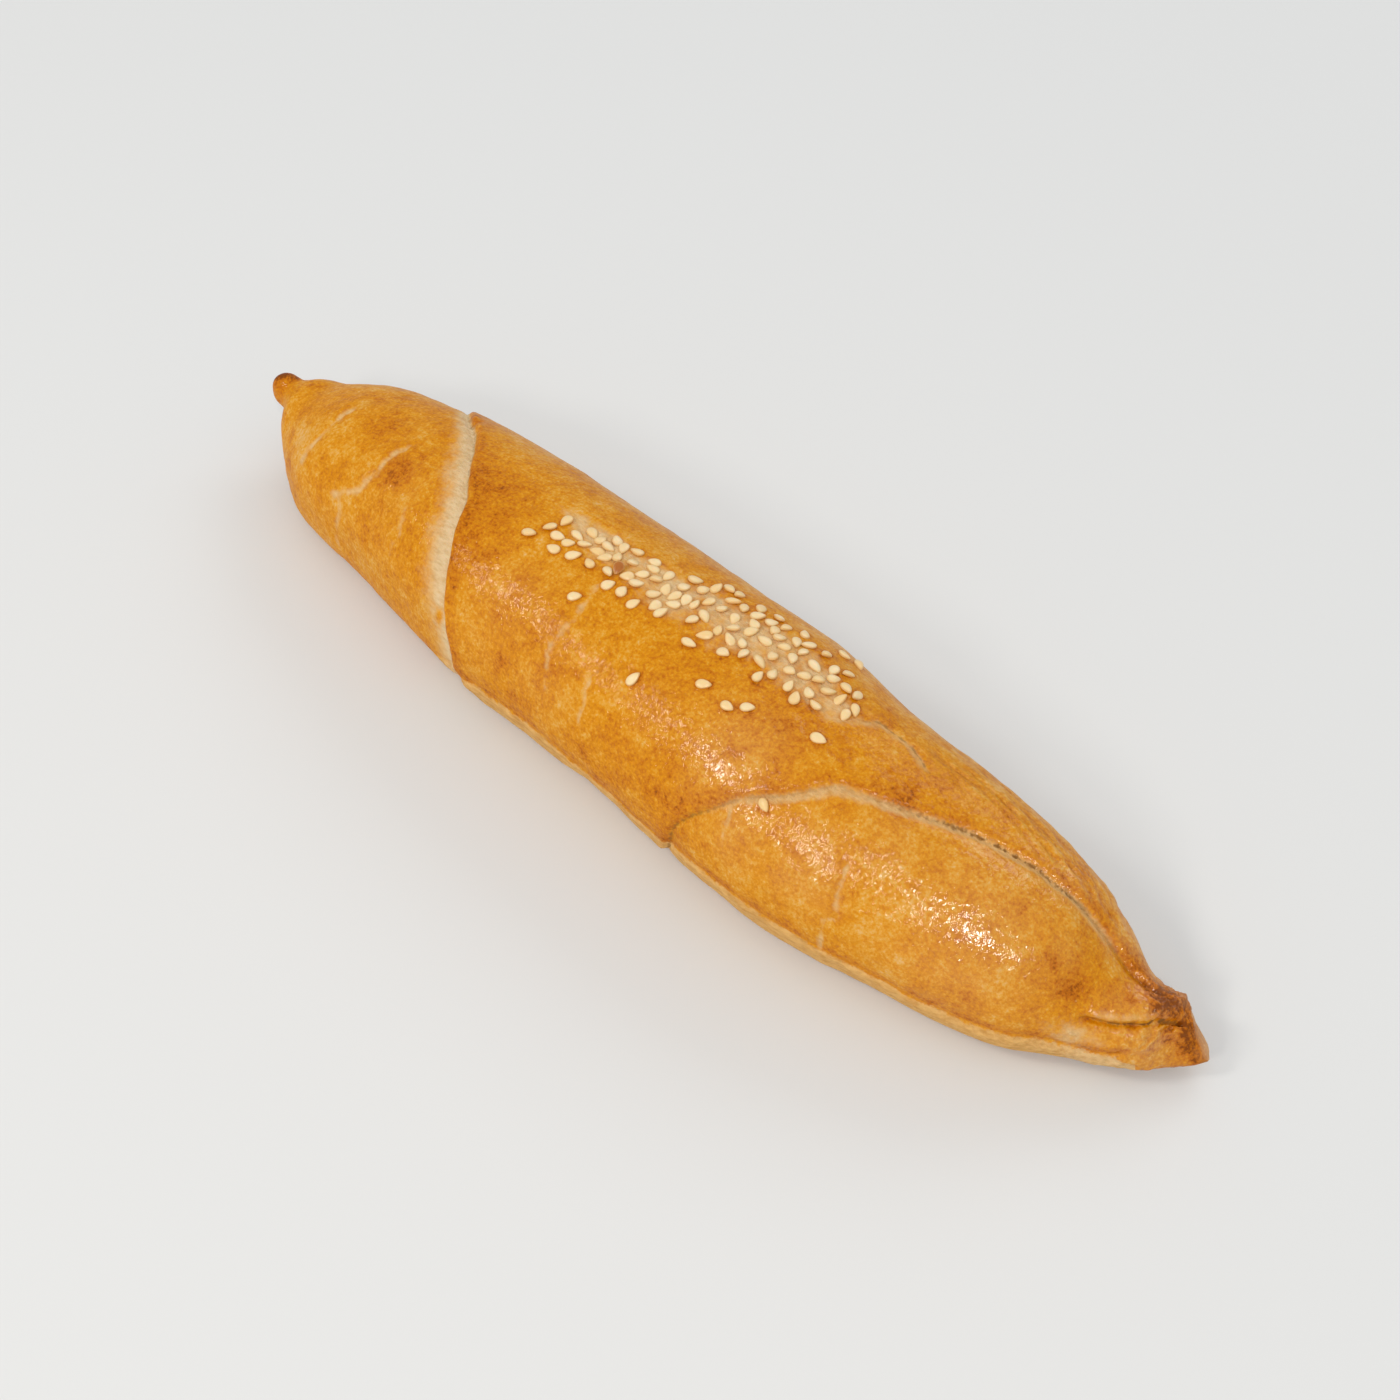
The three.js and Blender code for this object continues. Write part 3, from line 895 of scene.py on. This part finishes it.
SEED_LENGTH = 3.3
SEED_WIDTH = 2.1
SEED_THICKNESS = 0.95
SEED_COUNT = 108
SEED_SPACING = 1.75
SEED_SUNK = 0.25
SEED_ROUND = 28
SEED_HOOPS = (0.3, 0.55, 0.72, 0.84, 0.93, 0.98, 1.0)
SEED_SIZE_RANGE = (0.84, 1.04)
SEED_TILT = 0.13
TOASTED_SEED_AT = (-15.5, 1)
TOASTED_SEED_LIFT = 0.4

# The sesame band: place along the stick, angle of its middle and half its width in degrees.
SEED_BAND = (
    (-30, 3, 5),
    (-22, -2, 9),
    (-10, -4, 13),
    (4, -14, 21),
    (20, -16, 19),
    (31, -15, 18),
    (38, -12, 9),
)

dice = np.random.default_rng(11)


def seed_mesh(length, width, thickness):
    """A flat drop, long way X with its pointed end at +X, broad side up, and its rim mask."""
    turn = np.linspace(0, 2 * math.pi, SEED_ROUND, endpoint=False)
    along = np.cos(turn)
    outline_x = along * length / 2
    outline_y = np.sin(turn) * (1 - 0.3 * along - 0.12 * along**2) * width / 2
    points = [(0, 0, thickness / 2)]
    rim = [0.0]
    for side in (1, -1):
        hoops = SEED_HOOPS if side > 0 else SEED_HOOPS[-2::-1]
        for hoop in hoops:
            dome = (1 - hoop**2.6) ** 0.5 * (1 - 0.14 * bump(hoop - 0.72, 0.13))
            z = side * dome * thickness / 2
            points += [(hoop * px, hoop * py, z) for px, py in zip(outline_x, outline_y)]
            tip = smoothstep(0.55, 1.0, along * hoop)
            rim += list(np.maximum(smoothstep(0.7, 1.0, hoop), 0.8 * tip))
    points.append((0, 0, -thickness / 2))
    rim.append(0.0)
    faces = [(0, 1 + k, 1 + (k + 1) % SEED_ROUND) for k in range(SEED_ROUND)]
    hoop_count = 2 * len(SEED_HOOPS) - 1
    for h in range(hoop_count - 1):
        first = 1 + h * SEED_ROUND
        for k in range(SEED_ROUND):
            n = (k + 1) % SEED_ROUND
            faces.append((first + k, first + SEED_ROUND + k, first + SEED_ROUND + n, first + n))
    last = 1 + (hoop_count - 1) * SEED_ROUND
    bottom = len(points) - 1
    faces += [(last + k, bottom, last + (k + 1) % SEED_ROUND) for k in range(SEED_ROUND)]
    return np.array(points), faces, np.array(rim)


def lie_of(points):
    """Middle of a CAD seed's vertices, and its long axis towards its pointed end."""
    middle = points.mean(0)
    _, _, axes = np.linalg.svd(points - middle)
    long_axis = axes[0]
    away = points - middle
    along = away @ long_axis
    girth = np.linalg.norm(away - along[:, None] * long_axis, axis=1)
    if girth[along > 0].mean() > girth[along < 0].mean():
        long_axis = -long_axis
    return middle, long_axis


def clear_of(place, long_axis, others):
    """Whether a seed there keeps its distance from the others, judged along their long axes."""
    reach = (SEED_LENGTH - SEED_WIDTH) / 2
    steps = np.array([-reach, 0, reach])
    mine = place + steps[:, None] * long_axis
    for middle, axis in others:
        theirs = middle + steps[:, None] * axis
        gaps = np.linalg.norm(mine[:, None] - theirs[None], axis=2)
        if gaps.min() < SEED_SPACING:
            return False
    return True


def scatter_seeds(count, others):
    """More seeds thrown into the band, wherever there is room beside the others."""
    places = []
    start, end = SEED_BAND[0][0], SEED_BAND[-1][0]
    while len(places) < count:
        x = start + (end - start) * dice.random()
        across = dice.uniform(-1, 1) * math.sqrt(dice.random())
        angle = read_smooth(SEED_BAND, 1, x) + read_smooth(SEED_BAND, 2, x) * across
        middle = outline_point(x, angle)
        normal = outline_normal(x, angle)
        spin = dice.uniform(0, 2 * math.pi)
        level = np.cross(normal, (0.0, 1.0, 0.0))
        long_axis = math.cos(spin) * level + math.sin(spin) * np.cross(normal, level)
        long_axis /= np.linalg.norm(long_axis)
        if clear_of(middle, long_axis, others + places):
            places.append((middle, long_axis))
    return places


def lay_seed(name, material, crust_tree, middle, long_axis):
    """A seed lying on the fine crust nearest to a place, with a size, tone and tilt of its own."""
    size = np.array((SEED_LENGTH, SEED_WIDTH, SEED_THICKNESS)) * dice.uniform(*SEED_SIZE_RANGE, 3)
    hit, normal, _, _ = crust_tree.find_nearest(Vector(middle) * MM)
    tone = dice.uniform(0.0, 0.38) + 0.2 * (1 - smoothstep(0.7, 0.93, normal[2]))
    toasted = np.linalg.norm(middle - outline_point(*TOASTED_SEED_AT)) < 1.6
    if toasted:
        tone = 1.0
    points, faces, rim = seed_mesh(*size)
    points[:, 2] += 0.12 * dice.uniform(-1, 1) * (points[:, 0] / size[0] * 2) ** 2
    tilt = dice.normal(0, SEED_TILT, 2)
    normal = np.array(normal)
    long_axis = long_axis - normal * (long_axis @ normal)
    long_axis /= np.linalg.norm(long_axis)
    side = np.cross(normal, long_axis)
    normal = normal + tilt[0] * long_axis + tilt[1] * side
    normal /= np.linalg.norm(normal)
    long_axis = np.cross(side, normal)
    long_axis /= np.linalg.norm(long_axis)
    side = np.cross(normal, long_axis)
    lift = size[2] / 2 - SEED_SUNK + 0.5 * np.abs(tilt).max() + TOASTED_SEED_LIFT * toasted
    world = points @ np.array([long_axis, side, normal]) + np.array(hit) / MM + normal * lift
    piece = mesh_object(name, world, faces, {"rim": rim, "tone": np.full(len(points), tone)})
    piece.data.materials.append(material)
    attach(piece, "root")
    return piece


# ---------------------------------------------------------------------------------------------
# Making the object
# ---------------------------------------------------------------------------------------------

seed_nodes = sorted(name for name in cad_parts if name.startswith(SEED_PREFIX))
packed_places = [lie_of(node_points(name)) for name in seed_nodes]
more_places = scatter_seeds(SEED_COUNT - len(seed_nodes), packed_places)

crust_points, crust_masks = crust_surface(packed_places + more_places)
crust_grid_faces, crust_corners = crust_faces()
crust = mesh_object("baked_crust", crust_points, crust_grid_faces, crust_masks, crust_corners)
crust.data.materials.append(crust_material())
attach(crust, "root")
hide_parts(CRUST_NODE)

sesame = seed_material()
crust_tree = BVHTree.FromPolygons([Vector(p * MM) for p in crust_points], crust_grid_faces)
for name, (middle, long_axis) in zip(seed_nodes, packed_places):
    seed = lay_seed(name.replace("seed", "grain"), sesame, crust_tree, middle, long_axis)
    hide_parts(name)
for number, (middle, long_axis) in enumerate(more_places, len(seed_nodes) + 1):
    lay_seed(f"sesame_grain_{number:02d}", sesame, crust_tree, middle, long_axis)

# ---------------------------------------------------------------------------------------------
# Floor, light and camera
# ---------------------------------------------------------------------------------------------


FLOOR_HALF = 3.0
FLOOR_DROP = 0.0002
FLOOR_WHITE = (0.745, 0.75, 0.745)
SKY_WHITE = (0.975, 1.0, 1.03)
SKY_STRENGTH = 0.585
WARM_WHITE = (1.0, 0.95, 0.88)
WHITE = (1.0, 1.0, 1.0)

# Soft lights: name, direction they come from, size in metres, power in watts and colour.
LIGHT_DISTANCE = 1.6
LIGHTS = (
    ("window_left", (-0.48, -0.54, 0.69), (0.30, 0.30), 4.6, WARM_WHITE),
    ("window_right", (0.44, -0.46, 0.77), (0.26, 0.26), 6.0, WARM_WHITE),
    ("window_front", (-0.02, -0.80, 0.58), (0.26, 0.26), 4.0, WARM_WHITE),
    ("window_back", (-0.10, 0.80, 0.59), (1.0, 0.6), 4.0, WHITE),
)

CAMERA_AZIMUTH = 36.73
CAMERA_ELEVATION = 50.0
CAMERA_ROLL = 5.0
CAMERA_DISTANCE = 0.4148
CAMERA_AIM = (-0.00187, BLUNT_TIP[1] * MM + 0.00598, 0.0)
CAMERA_LENS = 52.5


def add_floor():
    around = ((-1, -1), (1, -1), (1, 1), (-1, 1))
    corners = [(x * FLOOR_HALF, y * FLOOR_HALF, -FLOOR_DROP) for x, y in around]
    mesh = bpy.data.meshes.new("floor")
    mesh.from_pydata(corners, [], [(0, 1, 2, 3)])
    floor = bpy.data.objects.new("floor", mesh)
    bpy.context.scene.collection.objects.link(floor)
    nodes = Nodes("pale_floor")
    nodes.shader.inputs["Base Color"].default_value = (*FLOOR_WHITE, 1)
    nodes.shader.inputs["Roughness"].default_value = 0.8
    mesh.materials.append(nodes.material)


def add_softbox(name, direction, size, power, colour):
    light = bpy.data.lights.new(name, "AREA")
    light.shape = "RECTANGLE"
    light.size, light.size_y = size
    light.energy = power
    light.color = colour
    box = bpy.data.objects.new(name, light)
    towards = Vector(direction).normalized()
    box.location = towards * LIGHT_DISTANCE
    box.rotation_euler = towards.to_track_quat("Z", "Y").to_euler()
    bpy.context.scene.collection.objects.link(box)


def add_sky():
    world = bpy.data.worlds.new("studio")
    world.use_nodes = True
    background = world.node_tree.nodes["Background"]
    background.inputs["Color"].default_value = (*SKY_WHITE, 1)
    background.inputs["Strength"].default_value = SKY_STRENGTH
    bpy.context.scene.world = world


def add_camera():
    azimuth = math.radians(CAMERA_AZIMUTH)
    elevation = math.radians(CAMERA_ELEVATION)
    roll = math.radians(CAMERA_ROLL)
    reach = math.cos(elevation)
    back = Vector((math.sin(azimuth) * reach, -math.cos(azimuth) * reach, math.sin(elevation)))
    level = Vector((math.cos(azimuth), math.sin(azimuth), 0))
    upright = back.cross(level)
    right = level * math.cos(roll) + upright * math.sin(roll)
    up = back.cross(right)
    data = bpy.data.cameras.new("camera")
    data.lens = CAMERA_LENS
    data.sensor_width = 36
    data.clip_start = 0.01
    camera = bpy.data.objects.new("camera", data)
    place = Vector(CAMERA_AIM) + back * CAMERA_DISTANCE
    turn = Matrix((right, up, back)).transposed().to_4x4()
    camera.matrix_world = Matrix.Translation(place) @ turn
    bpy.context.scene.collection.objects.link(camera)
    bpy.context.scene.camera = camera


add_floor()
add_sky()
for name, direction, size, power, colour in LIGHTS:
    add_softbox(name, direction, size, power, colour)
add_camera()
bpy.context.scene.view_settings.view_transform = "Standard"
